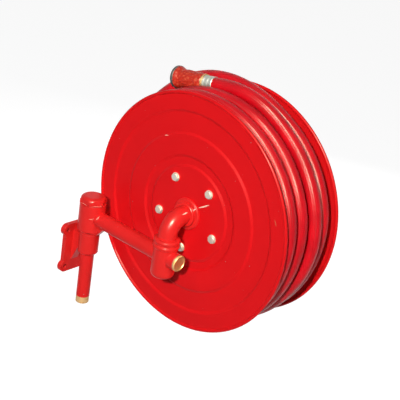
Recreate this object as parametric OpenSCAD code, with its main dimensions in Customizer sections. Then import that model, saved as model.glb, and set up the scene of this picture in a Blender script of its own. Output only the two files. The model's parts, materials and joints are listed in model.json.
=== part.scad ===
// Fire hose reel on a swinging arm, in millimetres.
// The origin is the middle of the wall plate's back face.
// +X leads out of the wall, +Y from the front disc to the back disc, +Z up.
// Water runs up the inlet pipe, through the swivel, the arm and the hub, and into the hose.

/* [Wall bracket] */
// Thickness of the wall plate
plate_t = 12; // [8:1:16]
// Distance between the wall bolts, across
wall_bolt_gap_y = 56; // [50:1:64]
// Distance between the wall bolts, upwards
wall_bolt_gap_z = 100; // [90:1:120]
// Diameter of a hole for a wall bolt
wall_hole_d = 11; // [9:0.5:14]
// Radius of the ear round each hole
ear_r = 15; // [12:0.5:17]
// Width of the plate between the ears
waist_w = 68; // [60:1:74]
// Distance from the wall to the swivel's axis
standoff = 57; // [54:1:70]
// Thickness of the web between the plate and the collar
web_t = 22; // [16:1:28]
// Drop of the web's foot along the plate
web_drop = 38; // [20:1:48]
// Diameter of the collar that holds the spindle
collar_d = 50; // [46:1:54]
// Height of the collar
collar_h = 55; // [50:1:60]
// Height of the collar's lower face over the plate's middle
collar_z = 3; // [0:1:8]
// Distance from the collar's top down to the web's top
web_inset = 10; // [3:1:16]

/* [Pipes] */
// Outer diameter of the inlet pipe
pipe_d = 33.7; // [30:0.1:34]
// Wall of the inlet pipe
pipe_wall = 3.2; // [2.5:0.1:4]
// Length of inlet pipe below the collar
inlet_len = 121; // [80:1:200]
// Depth of the inlet pipe inside the collar
inlet_grip = 18; // [12:1:20]
// Diameter of the nipple's thread
thread_d = 33.2; // [30:0.1:34]
// Length of the nipple's thread
thread_len = 18; // [14:1:24]
// Length of the nipple inside the pipe
nipple_grip = 14; // [10:1:20]

/* [Swivel] */
// Diameter of the swivel spindle's journal
journal_d = 36; // [34:0.5:37]
// Bore of the swivel spindle
spindle_bore = 24; // [20:0.5:25]
// Diameter of the swivel head
head_d = 64; // [60:1:68]
// Diameter of the swivel head's foot
foot_d = 54; // [50:1:58]
// Height of the swivel head's foot
foot_h = 6; // [4:1:10]
// Height of the arm's axis over the collar
arm_rise = 44.5; // [43:0.5:50]
// Height of the swivel head over the arm's axis
head_rise = 35; // [33:1:40]
// Width of the hexagonal cap across its flats
cap_w = 58; // [56:1:62]
// Height of the cap
cap_h = 17.5; // [13:0.5:18]

/* [Arm] */
// Outer diameter of the arm pipe
arm_d = 38; // [36:0.5:39]
// Wall of the arm pipe
arm_wall = 4; // [3:0.5:6]
// Reach of the fillet under the arm beyond the swivel head
fillet_out = 19; // [12:1:24]
// Distance from the swivel's axis to the end casting's axis
reach = 246; // [235:1:300]
// Diameter of the end casting
casting_d = 56; // [54:1:62]
// Depth of the end casting below the arm's axis
casting_drop = 51.5; // [45:0.5:62]
// Height of the end casting's shoulder over the arm's axis
shoulder_rise = 24.5; // [22.5:0.5:28]
// Outer diameter of the union collar's lips
union_d = 62; // [60:1:68]
// Height of the union collar
union_h = 21; // [20:1:24]
// Diameter of the brass end plug
plug_d = 39; // [36:1:41]
// Distance from the end casting's axis to the plug's outer face
plug_out = 47; // [42:1:52]
// Outer diameter of the elbow
elbow_d = 44; // [41:1:45]
// Radius of the elbow's bend
bend_r = 40; // [36:1:42]
// Height of the drum's axle over the arm's axis
axle_rise = 93.5; // [90:0.5:102]

/* [Hub] */
// Distance from the arm's plane to the front disc
disc_y = 58; // [56:1:70]
// Distance that the gland stands out from the disc
gland_out = 14; // [10:1:15]
// Diameter of the gland's lip at the disc
gland_d = 74; // [68:1:76]
// Diameter of the hub spindle's journal
hub_journal_d = 30; // [28:0.5:31]
// Bore of the hub spindle
hub_spindle_bore = 19; // [16:0.5:20]
// Diameter of the hub's boss
boss_d = 59.4; // [56:0.2:62]
// Length of the hub's boss behind the disc
boss_len = 102; // [98:1:120]
// Thickness of the hub's plate
hub_plate_t = 6; // [4:0.5:8]

/* [Drum] */
// Diameter of the discs
disc_d = 570; // [540:5:620]
// Thickness of the discs' sheet
disc_t = 1.5; // [1:0.1:2.5]
// Width of the drum over the discs' flat faces
drum_w = 192; // [186:1:240]
// Depth of the rings pressed into the discs
ring_depth = 3.5; // [2:0.5:5]
// Diameter of the rolled rim
rim_d = 8; // [6:0.5:10]
// Outer diameter of the barrel
barrel_d = 208; // [204:1:214]
// Wall of the barrel
barrel_t = 4; // [3:0.5:5]
// Distance from the barrel's outside in to the bolt circle
bolt_inset = 16; // [15:0.5:22]
// Diameter of a disc bolt
bolt_d = 10; // [8:1:10]

/* [Hose] */
// Outer diameter of the hose
hose_d = 33; // [30:0.5:33]
// Bore of the hose
hose_bore = 25; // [22:0.5:25]
// Distance between two turns of the outer layer
turn_gap = 7; // [6:0.5:8]
// Distance from the front disc to the first turn
edge_gap = 13; // [10:1:16]

/* [Nozzle] */
// Diameter of the ferrule
ferrule_d = 35; // [34:0.5:38]
// Length of the ferrule
ferrule_len = 29; // [24:1:34]
// Diameter of the nozzle at its tail
nozzle_tail_d = 39; // [37:0.5:41]
// Diameter of the nozzle before its flare
nozzle_waist_d = 44; // [42:0.5:46]
// Length of the nozzle body
nozzle_len = 78; // [70:1:84]
// Diameter of the rubber bumper
bumper_d = 54; // [51:0.5:55]
// Diameter of the water jet's orifice
jet_d = 8; // [6:0.5:10]

/* [Hidden] */
$fn = 64;

// Clearances: round a turning journal, between parts that must not touch, and round a fixed shank
run_gap = 0.05;
free_gap = 0.3;
fix_gap = 0.02;

// Heights along the swivel's axis
collar_top = collar_z + collar_h;
arm_z = collar_top + arm_rise;
head_top = arm_z + head_rise;
axle_z = arm_z + axle_rise;
pipe_end_z = collar_z - inlet_len;
pipe_bore = pipe_d - 2 * pipe_wall;

// Swivel
journal_r = journal_d / 2;
land_r = journal_r + free_gap;
bush_wall = 2.5;
bush_r = journal_r + bush_wall;
seal_d = 3;
washer_t = 2;
washer_r = journal_r + 6;
lower_bush = [5, 17];
chamber_half = 18;
chamber_r = 22;
upper_bush_h = 6;
ledge = 3;
spindle_seat_r = journal_r + 1;
circlip_t = 1.5;
seal_land = 7;
spindle_top = head_top + 2;
chamber_bottom = arm_z - chamber_half;
chamber_top = arm_z + chamber_half;
ledge_z = head_top - ledge;
swivel_seal_z = [chamber_bottom - seal_land / 2, chamber_top + seal_land / 2];
gasket_t = 1;

// Arm and end casting
casting_x = standoff + reach;
casting_r = casting_d / 2;
casting_bore_r = 17;
shoulder_z = arm_z + shoulder_rise;
neck_h = 6;
neck_r = 25.5;
neck_top = shoulder_z + neck_h;
union_top = shoulder_z + union_h + 2;
flange_r = 24;
flange_t = 4;
arm_r = arm_d / 2;
arm_bore_r = arm_r - arm_wall;
arm_stop = 1.5;
head_seat = chamber_r + arm_stop;
casting_seat = casting_bore_r + arm_stop;
water_r = 11;
plug_t = 5;
plug_washer_t = 1.5;
plug_shank_d = 26;
plug_boss_r = plug_d / 2 + 0.5;

// Hub, along the axle from the front disc's plane
gland_front = -gland_out;
gland_shank_r = 24;
gland_grip = 10;
hub_journal_r = hub_journal_d / 2;
hub_land_r = hub_journal_r + free_gap;
hub_bush_r = hub_journal_r + 3;
thrust_t = 5;
thrust_r = hub_journal_r + 4.5;
hub_bush_len = 20;
front_bush = gland_grip + thrust_t + 2;
rear_bush = front_bush + hub_bush_len + 15;
hub_seal_at = [front_bush + hub_bush_len + 5, rear_bush - 5];
hub_chamber = [rear_bush + hub_bush_len, boss_len - 6];
outlet_at = (hub_chamber[0] + hub_chamber[1]) / 2;
elbow_face = disc_y - gland_out - free_gap;
elbow_socket = 16;

// Drum
disc_r = disc_d / 2;
barrel_r = barrel_d / 2;
barrel_in_r = barrel_r - barrel_t;
bolt_circle_r = barrel_r - bolt_inset;
flange_in_r = bolt_circle_r - 18;
barrel_flange_t = 3;
hub_plate_at = disc_t + barrel_flange_t;
hub_plate_r = barrel_in_r - 0.5;
bead = [barrel_r + 10, barrel_r + 31];
band = [disc_r - 97, disc_r - 46.5];
ring_slope = 3;
bolt_count = 5;
bolt_turn = 51.9;
bolt_hole_r = bolt_d / 2 + 0.5;
washer_d = 2 * bolt_d + 1;
head_w = 1.7 * bolt_d;
head_h = 0.45 * bolt_d;
nut_h = 0.8 * bolt_d;
disc_washer_t = 1.5;
outlet_turn = 200;

// Hose lead inside the barrel, outwards from the axle
outlet_r = 13;
outlet_bore_r = 9;
outlet_from = boss_d / 2 - 8.7;
tail_nut_w = 34;
tail_nut = [boss_d / 2 + 22.3, boss_d / 2 + 34.3];
lead = [tail_nut[1] + 1, barrel_r + 14];
tail_end = lead[0] + 27;
grommet_wall = 3.4;
grommet_lip = 3;
clamp_from = lead[0] + 7;
clamp_w = 12;
clamp_band = 1.5;

// Winding. T is the unwrapped angle in degrees from +X towards +Z. It grows towards the nozzle.
RINGS = 24;
SIDES = 6;
hose_r = hose_d / 2;
turn_pitch = hose_d + turn_gap;
first_turn = disc_t + edge_gap + hose_r;
wind_r = disc_r - hose_r - 0.5;
slack = 8;
slack_lean = 6;
proud = 9;
core_r = wind_r * cos(180 / RINGS) - hose_r - slack - free_gap;
core_side = ring_depth + 0.8;
start_T = 158;
end_T = 1535.4;
start_dip = 35;
cross_lift = hose_d + 0.8;
nozzle_lift = 9;
nozzle_shift = 8;
nozzle_bow = 0.0145;
recess_w = hose_d + 2;

// Angles between which the hose steps across to a slot, climbs, or comes down
to_slot_1 = [470, 570];
to_slot_3 = [835, 885];
to_slot_2 = [1196, 1246];
climb = [1140, 1212];
descent = [1238, 1260];
emerge = [165, 250];
// Middle and half width of each turn's slack part, the last turn's share of it, and where that turn
// stands proud
slack_at = -55;
slack_half = 75;
last_turn_T = 1200;
last_slack = 0.5;
stand_proud = [1402, 1444];
shift_to_nozzle = [1485, end_T];
lift_to_nozzle = [1490, 1525];

function smooth(s) = s <= 0 ? 0 : s >= 1 ? 1 : s * s * (3 - 2 * s);
function ramp(T, span) = smooth((T - span[0]) / (span[1] - span[0]));

// Place of the hose across the drum: one turn each at slots 0, 1 and 3, then back to slot 2
function slot(T) = ramp(T, to_slot_1) + 2 * ramp(T, to_slot_3) - ramp(T, to_slot_2);
function slackness(T) =
    (T > last_turn_T ? last_slack : 1)
    * smooth((cos(T - slack_at) - cos(slack_half)) / (1 - cos(slack_half)));
function across(T) =
    first_turn + turn_pitch * slot(T) - slack_lean * slackness(T) - nozzle_shift * ramp(T, shift_to_nozzle);
// Distance of the hose from the axle: out of the recess, slack at one side, over its own third turn, proud of
// the rest on the last turn, and up to the nozzle
function dip(T) = -start_dip * (1 - ramp(T, emerge));
function hump(T) = cross_lift * ramp(T, climb) * (1 - ramp(T, descent));
function rise(T) =
    nozzle_lift * ramp(T, lift_to_nozzle) - nozzle_bow * pow(max(T - lift_to_nozzle[1], 0), 2);
function from_axle(T) =
    wind_r + dip(T) + hump(T) - slack * slackness(T) + proud * ramp(T, stand_proud) + rise(T);
function hose_at(T) = [
    casting_x + from_axle(T) * cos(T),
    disc_y + across(T),
    axle_z + from_axle(T) * sin(T)
];
function unit(v) = v / norm(v);
function heading(T) = unit(hose_at(T + 0.01) - hose_at(T - 0.01));

wind_steps = ceil((end_T - start_T) * RINGS / 360);
wind_T = [for (i = [0 : wind_steps]) start_T + (end_T - start_T) * i / wind_steps];
start_dir = heading(start_T);
end_dir = heading(end_T);
hose_start = hose_at(start_T) - hose_d * start_dir;
hose_tip = hose_at(end_T) + hose_d * end_dir;
wind_path = concat([hose_start], [for (T = wind_T) hose_at(T)], [hose_tip]);
last_ring = len(wind_path) - 1;
function ring_dir(i) =
    i <= 1 ? start_dir : i >= last_ring - 1 ? end_dir : unit(wind_path[i + 1] - wind_path[i - 1]);
function ring_point(i, k) =
    let (
        dir = ring_dir(i),
        radial = unit(wind_path[i] - [casting_x, wind_path[i][1], axle_z]),
        out = unit(radial - (radial * dir) * dir),
        side = cross(dir, out),
        a = 360 * (k + 0.5) / SIDES
    )
    wind_path[i] + hose_r * (cos(a) * out + sin(a) * side);
wind_points = [for (i = [0 : last_ring], k = [0 : SIDES - 1]) ring_point(i, k)];
wind_faces = concat(
    [for (k = [1 : SIDES - 2]) [0, k, k + 1]],
    [for (k = [1 : SIDES - 2]) let (a = last_ring * SIDES) [a, a + k + 1, a + k]],
    [for (i = [0 : last_ring - 1], k = [0 : SIDES - 1], half = [0, 1])
        let (a = i * SIDES, n = (k + 1) % SIDES)
        half == 0 ? [a + k, a + SIDES + k, a + n] : [a + n, a + SIDES + k, a + SIDES + n]]
);

// Least gap between two turns, on points along the rings' chords
GAP_STEP = 5;
function chord_point(T) =
    let (s = (T - start_T) / (wind_T[1] - wind_T[0]), i = min(floor(s), wind_steps - 1))
    wind_path[i + 1] + (s - i) * (wind_path[i + 2] - wind_path[i + 1]);
turn_gaps = [
    for (T = [start_T : GAP_STEP : end_T], k = [1 : 3], off = [-40 : GAP_STEP : 40])
        if (T + 360 * k + off <= end_T) norm(chord_point(T) - chord_point(T + 360 * k + off)) - hose_d
];
echo(least_gap_between_turns = min(turn_gaps));

// Nozzle, along its axis from the hose's end
nozzle_turn = atan2(end_dir[2], end_dir[0]);
tail_flange_t = 3;
tail_journal_r = 13;
tail_journal_len = 30;
tail_bore_r = 9;
flare_len = 12;
bumper_len = 8;
nozzle_from = ferrule_len + tail_flange_t + free_gap;
nozzle_to = nozzle_from + nozzle_len;
flare_r = bumper_d / 2 - 1;
spigot_r = 21;
jet_r = 12;
jet_seat = 16;
spigot_len = bumper_len - 2;

module on_column(z) {
    translate([standoff, 0, z]) children();
}

module on_casting(z) {
    translate([casting_x, 0, z]) children();
}

// Local z is the axle, from the front disc's plane towards the back disc
module on_axle(along = 0) {
    translate([casting_x, disc_y + along, axle_z]) rotate([-90, 0, 0]) children();
}

// Local z leads away from the axle at an angle from +X towards +Z
module away_from_axle(turn, along) {
    on_axle(along) rotate([0, 0, -turn]) rotate([0, 90, 0]) children();
}

module on_nozzle(along = 0) {
    translate(hose_tip) rotate([0, 90 - nozzle_turn, 0]) translate([0, 0, along]) children();
}

module tube(outer_r, inner_r, h) {
    rotate_extrude() translate([inner_r, 0]) square([outer_r - inner_r, h]);
}

module ring_seal(outer_r) {
    rotate_extrude() translate([outer_r - seal_d / 2, 0]) circle(r = seal_d / 2);
}

module seal_groove(outer_r, land) {
    tube(land + 1, outer_r - seal_d - fix_gap, seal_d + 1);
}

module bolt_pattern() {
    for (i = [0 : bolt_count - 1])
        rotate([0, 0, -(bolt_turn + 360 * i / bolt_count)])
            translate([bolt_circle_r, 0, 0])
                children();
}

module hexagon(w, h) {
    cylinder(d = w / cos(30), h = h, $fn = 6);
}

// Hexagon whose corners are turned down at the foot
module chamfered_hexagon(w, h) {
    intersection() {
        hexagon(w, h);
        cylinder(d1 = 0.95 * w, d2 = 0.95 * w + 2 * h / tan(30), h = h);
    }
}

module wall_bracket() {
    half_y = wall_bolt_gap_y / 2;
    half_z = wall_bolt_gap_z / 2;
    collar_chamfer = 4;
    color("crimson")
    difference() {
        union() {
            // Plate with its ears
            rotate([90, 0, 90])
                linear_extrude(plate_t) {
                    for (y = [-half_y, half_y], z = [-half_z, half_z])
                        translate([y, z]) circle(r = ear_r);
                    for (z = [-half_z, half_z])
                        translate([-half_y, z - ear_r]) square([2 * half_y, 2 * ear_r]);
                    translate([-waist_w / 2, -half_z]) square([waist_w, 2 * half_z]);
                }
            // Web, with a sloping foot
            translate([0, web_t / 2, 0])
                rotate([90, 0, 0])
                    linear_extrude(web_t)
                        polygon([
                            [plate_t / 2, collar_top - web_inset],
                            [standoff, collar_top - web_inset],
                            [standoff, collar_z + 4],
                            [standoff - collar_d / 2, collar_z + 4],
                            [plate_t, collar_z - web_drop],
                            [plate_t / 2, collar_z - web_drop]
                        ]);
            // Collar, chamfered at its foot
            on_column(collar_z)
                rotate_extrude()
                    polygon([
                        [0, 0],
                        [collar_d / 2 - collar_chamfer, 0],
                        [collar_d / 2, collar_chamfer],
                        [collar_d / 2, collar_h],
                        [0, collar_h]
                    ]);
        }
        on_column(collar_z - 1) cylinder(r = pipe_d / 2 + fix_gap, h = collar_h + 2);
        on_column(collar_z + inlet_grip) cylinder(r = spindle_seat_r + fix_gap, h = collar_h);
        for (y = [-half_y, half_y], z = [-half_z, half_z])
            translate([-1, y, z]) rotate([0, 90, 0]) cylinder(d = wall_hole_d, h = plate_t + 2);
    }
}

module inlet_pipe() {
    color("crimson")
        on_column(pipe_end_z) tube(pipe_d / 2, pipe_bore / 2, inlet_len + inlet_grip);
}

module inlet_nipple() {
    grip_r = pipe_bore / 2 - fix_gap;
    color("goldenrod")
        on_column(pipe_end_z)
            rotate_extrude()
                polygon([
                    [grip_r - 3, -thread_len],
                    [thread_d / 2 - 1, -thread_len],
                    [thread_d / 2, 1 - thread_len],
                    [thread_d / 2, 0],
                    [grip_r, 0],
                    [grip_r, nipple_grip],
                    [grip_r - 3, nipple_grip]
                ]);
}

module swivel_spindle() {
    seat_z = collar_z + inlet_grip;
    port_d = 14;
    color("goldenrod")
    difference() {
        union() {
            on_column(seat_z + fix_gap) cylinder(r = spindle_seat_r, h = collar_h - inlet_grip - fix_gap);
            on_column(collar_top - 1) cylinder(r = journal_r, h = spindle_top - collar_top + 1);
        }
        on_column(seat_z - 1) cylinder(d = spindle_bore, h = chamber_top - seat_z + 1);
        for (turn = [0, 90])
            on_column(arm_z) rotate([0, 90, turn]) cylinder(d = port_d, h = 2 * journal_d, center = true);
        for (z = swivel_seal_z)
            on_column(z - seal_d / 2 - 0.5) seal_groove(land_r - run_gap, journal_r);
        on_column(ledge_z + free_gap) tube(journal_r + 1, journal_r - 2, circlip_t + fix_gap);
    }
}

module swivel_washer() {
    color("darkgoldenrod")
        on_column(collar_top) tube(washer_r, journal_r + fix_gap, washer_t);
}

module swivel_seals() {
    color("black")
        for (z = swivel_seal_z)
            on_column(z) ring_seal(land_r - run_gap);
}

module swivel_circlip() {
    inner_r = journal_r - 2 + fix_gap;
    color("silver")
        on_column(ledge_z + free_gap)
            rotate_extrude(angle = 320, start = 20)
                translate([inner_r, 0]) square([5.5, circlip_t]);
}

// Clear space inside the swivel head: washer seat, lands, bush seats, water chamber and circlip seat
module swivel_bore() {
    on_column(collar_top - 1) cylinder(r = washer_r + free_gap, h = washer_t + 1 + free_gap);
    on_column(collar_top) cylinder(r = land_r, h = head_top - collar_top + 1);
    on_column(collar_top + lower_bush[0]) cylinder(r = bush_r, h = lower_bush[1] - lower_bush[0]);
    on_column(chamber_bottom) cylinder(r = chamber_r, h = 2 * chamber_half);
    on_column(ledge_z - upper_bush_h - 1) cylinder(r = bush_r, h = upper_bush_h);
    on_column(ledge_z) cylinder(r = chamber_r, h = ledge + 1);
}

module swivel_head() {
    color("crimson")
    difference() {
        union() {
            on_column(0)
                rotate_extrude()
                    polygon([
                        [0, collar_top + free_gap],
                        [foot_d / 2 - 1, collar_top + free_gap],
                        [foot_d / 2, collar_top + free_gap + 1],
                        [foot_d / 2, collar_top + foot_h],
                        [head_d / 2, collar_top + foot_h + 4],
                        [head_d / 2, head_top],
                        [0, head_top]
                    ]);
            arm_fillet();
        }
        swivel_bore();
        on_column(arm_z) rotate([0, 90, 0]) arm_pocket(head_seat);
    }
}

// Fillet between the head's side and the underside of the arm
module arm_fillet() {
    fillet_w = 16;
    from_x = foot_d / 2 - 3;
    from_z = 3 - arm_rise;
    top_z = 2 - arm_r;
    on_column(arm_z)
        translate([0, fillet_w / 2, 0])
            rotate([90, 0, 0])
                linear_extrude(fillet_w)
                    polygon([
                        [from_x, from_z],
                        [foot_d / 2 + 1.5, from_z],
                        [head_d / 2 + fillet_out, top_z],
                        [from_x, top_z]
                    ]);
}

// Way for the water out of a casting's chamber, with the arm pipe's seat at that distance from the axis
module arm_pocket(seat) {
    cylinder(r = arm_bore_r, h = head_d);
    translate([0, 0, seat]) cylinder(r = arm_r + fix_gap, h = head_d);
}

module swivel_bushes() {
    color("darkgoldenrod") {
        on_column(collar_top + lower_bush[0])
            tube(bush_r, journal_r + run_gap, lower_bush[1] - lower_bush[0]);
        on_column(ledge_z - upper_bush_h - 1)
            tube(bush_r, journal_r + run_gap, upper_bush_h);
    }
}

module cap_gasket() {
    color("black")
        on_column(head_top) tube(cap_w / 2 - 1, chamber_r, gasket_t);
}

module swivel_cap() {
    skirt_h = cap_h - 8;
    dome_from = cap_w / 2 - 10;
    dome_w = 12;
    dome_z = skirt_h - 1;
    color("crimson")
    on_column(head_top + gasket_t)
    difference() {
        union() {
            hexagon(cap_w, skirt_h);
            intersection() {
                hexagon(cap_w, cap_h);
                // Domed top with a flat middle
                rotate_extrude()
                    polygon(concat(
                        [[0, 0], [cap_w / 2 + 4, 0], [cap_w / 2 + 4, dome_z]],
                        [
                            for (a = [0 : 15 : 90])
                                [dome_from + dome_w * cos(a), dome_z + (cap_h - dome_z) * sin(a)]
                        ],
                        [[0, cap_h]]
                    ));
            }
        }
        translate([0, 0, -1]) cylinder(r = chamber_r - 2, h = cap_h - 3);
    }
}

module arm_pipe() {
    from_x = standoff + head_seat;
    to_x = casting_x - casting_seat;
    color("crimson")
        translate([from_x, 0, arm_z])
            rotate([0, 90, 0]) tube(arm_r, arm_bore_r, to_x - from_x);
}

module end_casting() {
    foot_z = arm_z - casting_drop;
    round_r = 12;
    floor_t = 10;
    boss_x = plug_out - plug_t - plug_washer_t;
    color("crimson")
    difference() {
        union() {
            on_casting(0)
                rotate_extrude()
                    polygon(concat(
                        [[0, foot_z]],
                        [
                            for (a = [-90 : 15 : 0])
                                [casting_r - round_r * (1 - cos(a)), foot_z + round_r * (1 + sin(a))]
                        ],
                        [[casting_r, shoulder_z], [neck_r, shoulder_z], [neck_r, neck_top], [0, neck_top]]
                    ));
            on_casting(arm_z) rotate([0, 90, 0]) cylinder(r = plug_boss_r, h = boss_x);
        }
        on_casting(foot_z + floor_t) cylinder(r = casting_bore_r, h = neck_top - foot_z);
        on_casting(arm_z) rotate([0, -90, 0]) arm_pocket(casting_seat);
        on_casting(arm_z) rotate([0, 90, 0]) cylinder(d = plug_shank_d + 2 * fix_gap, h = casting_d);
    }
}

module end_plug() {
    dish_r = plug_d / 2 - 4;
    shank_len = 16;
    color("goldenrod")
        translate([casting_x + plug_out - plug_t, 0, arm_z])
            rotate([0, 90, 0])
                rotate_extrude()
                    polygon([
                        [0, -shank_len],
                        [plug_shank_d / 2, -shank_len],
                        [plug_shank_d / 2, 0],
                        [plug_d / 2, 0],
                        [plug_d / 2, plug_t - 1.5],
                        [plug_d / 2 - 1.5, plug_t],
                        [dish_r + 0.5, plug_t],
                        [dish_r, plug_t - 1],
                        [dish_r / 2, plug_t - 2.2],
                        [0, plug_t - 2.6]
                    ]);
}

module plug_washer() {
    color("darkred")
        translate([casting_x + plug_out - plug_t - plug_washer_t, 0, arm_z])
            rotate([0, 90, 0]) tube(plug_d / 2, plug_shank_d / 2 + fix_gap, plug_washer_t);
}

module union_collar() {
    lip_r = union_d / 2;
    waist_r = lip_r - 2.5;
    flange_top = neck_top + flange_t;
    color("crimson")
        on_casting(0)
            rotate_extrude()
                polygon([
                    [neck_r + fix_gap, shoulder_z],
                    [lip_r - 1, shoulder_z],
                    [lip_r, shoulder_z + 1.5],
                    [lip_r, shoulder_z + 6],
                    [waist_r, shoulder_z + 8.5],
                    [waist_r, union_top - 11],
                    [lip_r, union_top - 8.5],
                    [lip_r, union_top - 4],
                    [lip_r - 2.5, union_top - 1.5],
                    [elbow_d / 2 + 3, union_top],
                    [elbow_d / 2 + fix_gap, union_top],
                    [elbow_d / 2 + fix_gap, flange_top],
                    [flange_r + fix_gap, flange_top],
                    [flange_r + fix_gap, neck_top],
                    [neck_r + fix_gap, neck_top]
                ]);
}

module elbow() {
    bend_z = axle_z - bend_r;
    color("crimson")
    difference() {
        union() {
            on_casting(neck_top) cylinder(r = flange_r, h = flange_t);
            on_casting(neck_top) cylinder(d = elbow_d, h = bend_z - neck_top);
            translate([casting_x, bend_r, bend_z])
                rotate([90, 0, -90])
                    rotate_extrude(angle = 90) translate([bend_r, 0]) circle(d = elbow_d);
            on_axle(bend_r - disc_y) cylinder(d = elbow_d, h = elbow_face - bend_r);
        }
        on_casting(neck_top - 1) cylinder(r = water_r, h = bend_z - neck_top + 1);
        translate([casting_x, bend_r, bend_z])
            rotate([90, 0, -90])
                rotate_extrude(angle = 90) translate([bend_r, 0]) circle(r = water_r);
        on_axle(elbow_face - elbow_socket - disc_y)
            cylinder(r = hub_journal_r + fix_gap, h = elbow_socket + 1);
    }
}

module hub_spindle() {
    from = elbow_face - elbow_socket - disc_y;
    to = hub_chamber[0] + 2;
    color("goldenrod")
    difference() {
        union() {
            on_axle(from) cylinder(r = hub_journal_r, h = to - from);
            on_axle(gland_grip) cylinder(r = thrust_r, h = thrust_t);
        }
        on_axle(from - 1) cylinder(d = hub_spindle_bore, h = to - from + 2);
        for (at = hub_seal_at)
            on_axle(at - seal_d / 2 - 0.5) seal_groove(hub_land_r - run_gap, hub_journal_r);
    }
}

module hub_seals() {
    color("black")
        for (at = hub_seal_at)
            on_axle(at) ring_seal(hub_land_r - run_gap);
}

module hub() {
    rib_len = 30;
    rib_t = 6;
    rib_from = boss_d / 2 - 3;
    color("dimgray")
    difference() {
        union() {
            on_axle(fix_gap) cylinder(d = boss_d, h = boss_len - fix_gap);
            on_axle(hub_plate_at) cylinder(r = hub_plate_r, h = hub_plate_t);
            // Ribs between the bolts
            for (i = [0 : bolt_count - 1])
                on_axle(hub_plate_at + hub_plate_t - 0.5)
                    rotate([0, 0, -(bolt_turn + 360 * (i + 0.5) / bolt_count)])
                        rotate([90, 0, 0])
                            linear_extrude(rib_t, center = true)
                                polygon([[rib_from, 0], [hub_plate_r - 20, 0], [rib_from, rib_len]]);
        }
        on_axle(-1) cylinder(r = gland_shank_r + fix_gap, h = gland_grip + 1 - free_gap);
        on_axle(gland_grip - free_gap - 0.1)
            cylinder(r = thrust_r + free_gap, h = thrust_t + 2 * free_gap + 0.1);
        on_axle(0) cylinder(r = hub_land_r, h = hub_chamber[0] + 1);
        for (at = [front_bush, rear_bush])
            on_axle(at) cylinder(r = hub_bush_r, h = hub_bush_len);
        on_axle(hub_chamber[0]) cylinder(r = hub_bush_r, h = hub_chamber[1] - hub_chamber[0]);
        away_from_axle(outlet_turn, outlet_at) cylinder(r = outlet_bore_r, h = boss_d);
        away_from_axle(outlet_turn, outlet_at)
            translate([0, 0, outlet_from]) cylinder(r = outlet_r + fix_gap, h = boss_d);
        on_axle(0) bolt_pattern() cylinder(r = bolt_hole_r, h = boss_len);
    }
}

module hub_bushes() {
    color("darkgoldenrod")
        for (at = [front_bush, rear_bush])
            on_axle(at) tube(hub_bush_r, hub_journal_r + run_gap, hub_bush_len);
}

module hub_gland() {
    lip_r = gland_d / 2;
    front_lip_r = 29;
    waist_r = 26.5;
    color("crimson")
        on_axle(0)
            rotate_extrude()
                polygon([
                    [hub_land_r, gland_front],
                    [front_lip_r - 1.5, gland_front],
                    [front_lip_r, gland_front + 1.5],
                    [front_lip_r, gland_front + 4.5],
                    [waist_r, gland_front + 6.5],
                    [waist_r, -6],
                    [lip_r - 2.5, -5.5],
                    [lip_r, -3.5],
                    [lip_r, 0],
                    [gland_shank_r, 0],
                    [gland_shank_r, gland_grip - 2 * free_gap],
                    [hub_land_r, gland_grip - 2 * free_gap]
                ]);
}

// Half section of a disc: flat sheet, two rings pressed in towards the hose, and a rolled rim
module disc_section() {
    outer = [
        [boss_d / 2 + free_gap, 0],
        [bead[0] - ring_slope, 0],
        [bead[0] + ring_slope, ring_depth],
        [bead[1] - ring_slope, ring_depth],
        [bead[1] + ring_slope, 0],
        [band[0] - ring_slope, 0],
        [band[0] + ring_slope, ring_depth],
        [band[1] - ring_slope, ring_depth],
        [band[1] + ring_slope, 0],
        [disc_r - rim_d / 2, 0]
    ];
    last = len(outer) - 1;
    polygon(concat(outer, [for (i = [last : -1 : 0]) outer[i] + [0, disc_t]]));
    translate([disc_r - rim_d / 2, disc_t / 2]) circle(d = rim_d);
}

module disc() {
    difference() {
        rotate_extrude($fn = 128) disc_section();
        translate([0, 0, -10]) bolt_pattern() cylinder(r = bolt_hole_r, h = 20);
    }
}

module front_disc() {
    color("crimson") on_axle(0) disc();
}

module back_disc() {
    color("crimson") on_axle(drum_w) mirror([0, 0, 1]) disc();
}

module barrel() {
    len = drum_w - 2 * disc_t;
    color("firebrick")
    difference() {
        on_axle(disc_t)
            rotate_extrude()
                polygon([
                    [flange_in_r, 0],
                    [barrel_r, 0],
                    [barrel_r, len],
                    [flange_in_r, len],
                    [flange_in_r, len - barrel_flange_t],
                    [barrel_in_r, len - barrel_flange_t],
                    [barrel_in_r, barrel_flange_t],
                    [flange_in_r, barrel_flange_t]
                ]);
        on_axle(0) bolt_pattern() cylinder(r = bolt_hole_r, h = drum_w);
        away_from_axle(outlet_turn, outlet_at) cylinder(r = hose_r + grommet_wall, h = barrel_d);
    }
}

// Bolt with its head in front of local z = 0
module bolt(len) {
    translate([0, 0, -head_h]) chamfered_hexagon(head_w, head_h);
    translate([0, 0, -0.5]) cylinder(d = bolt_d, h = len + 0.5);
}

module nut() {
    difference() {
        hexagon(head_w, nut_h);
        translate([0, 0, -1]) cylinder(r = bolt_d / 2 + fix_gap, h = nut_h + 2);
    }
}

module disc_washer() {
    tube(washer_d / 2, bolt_d / 2 + free_gap, disc_washer_t);
}

module front_bolts() {
    grip = disc_washer_t + hub_plate_at + hub_plate_t;
    color("gainsboro") on_axle(-disc_washer_t) bolt_pattern() bolt(grip + nut_h + 3);
}

module front_washers() {
    color("gainsboro") on_axle(-disc_washer_t) bolt_pattern() disc_washer();
}

module front_nuts() {
    color("gainsboro") on_axle(hub_plate_at + hub_plate_t) bolt_pattern() nut();
}

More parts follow.
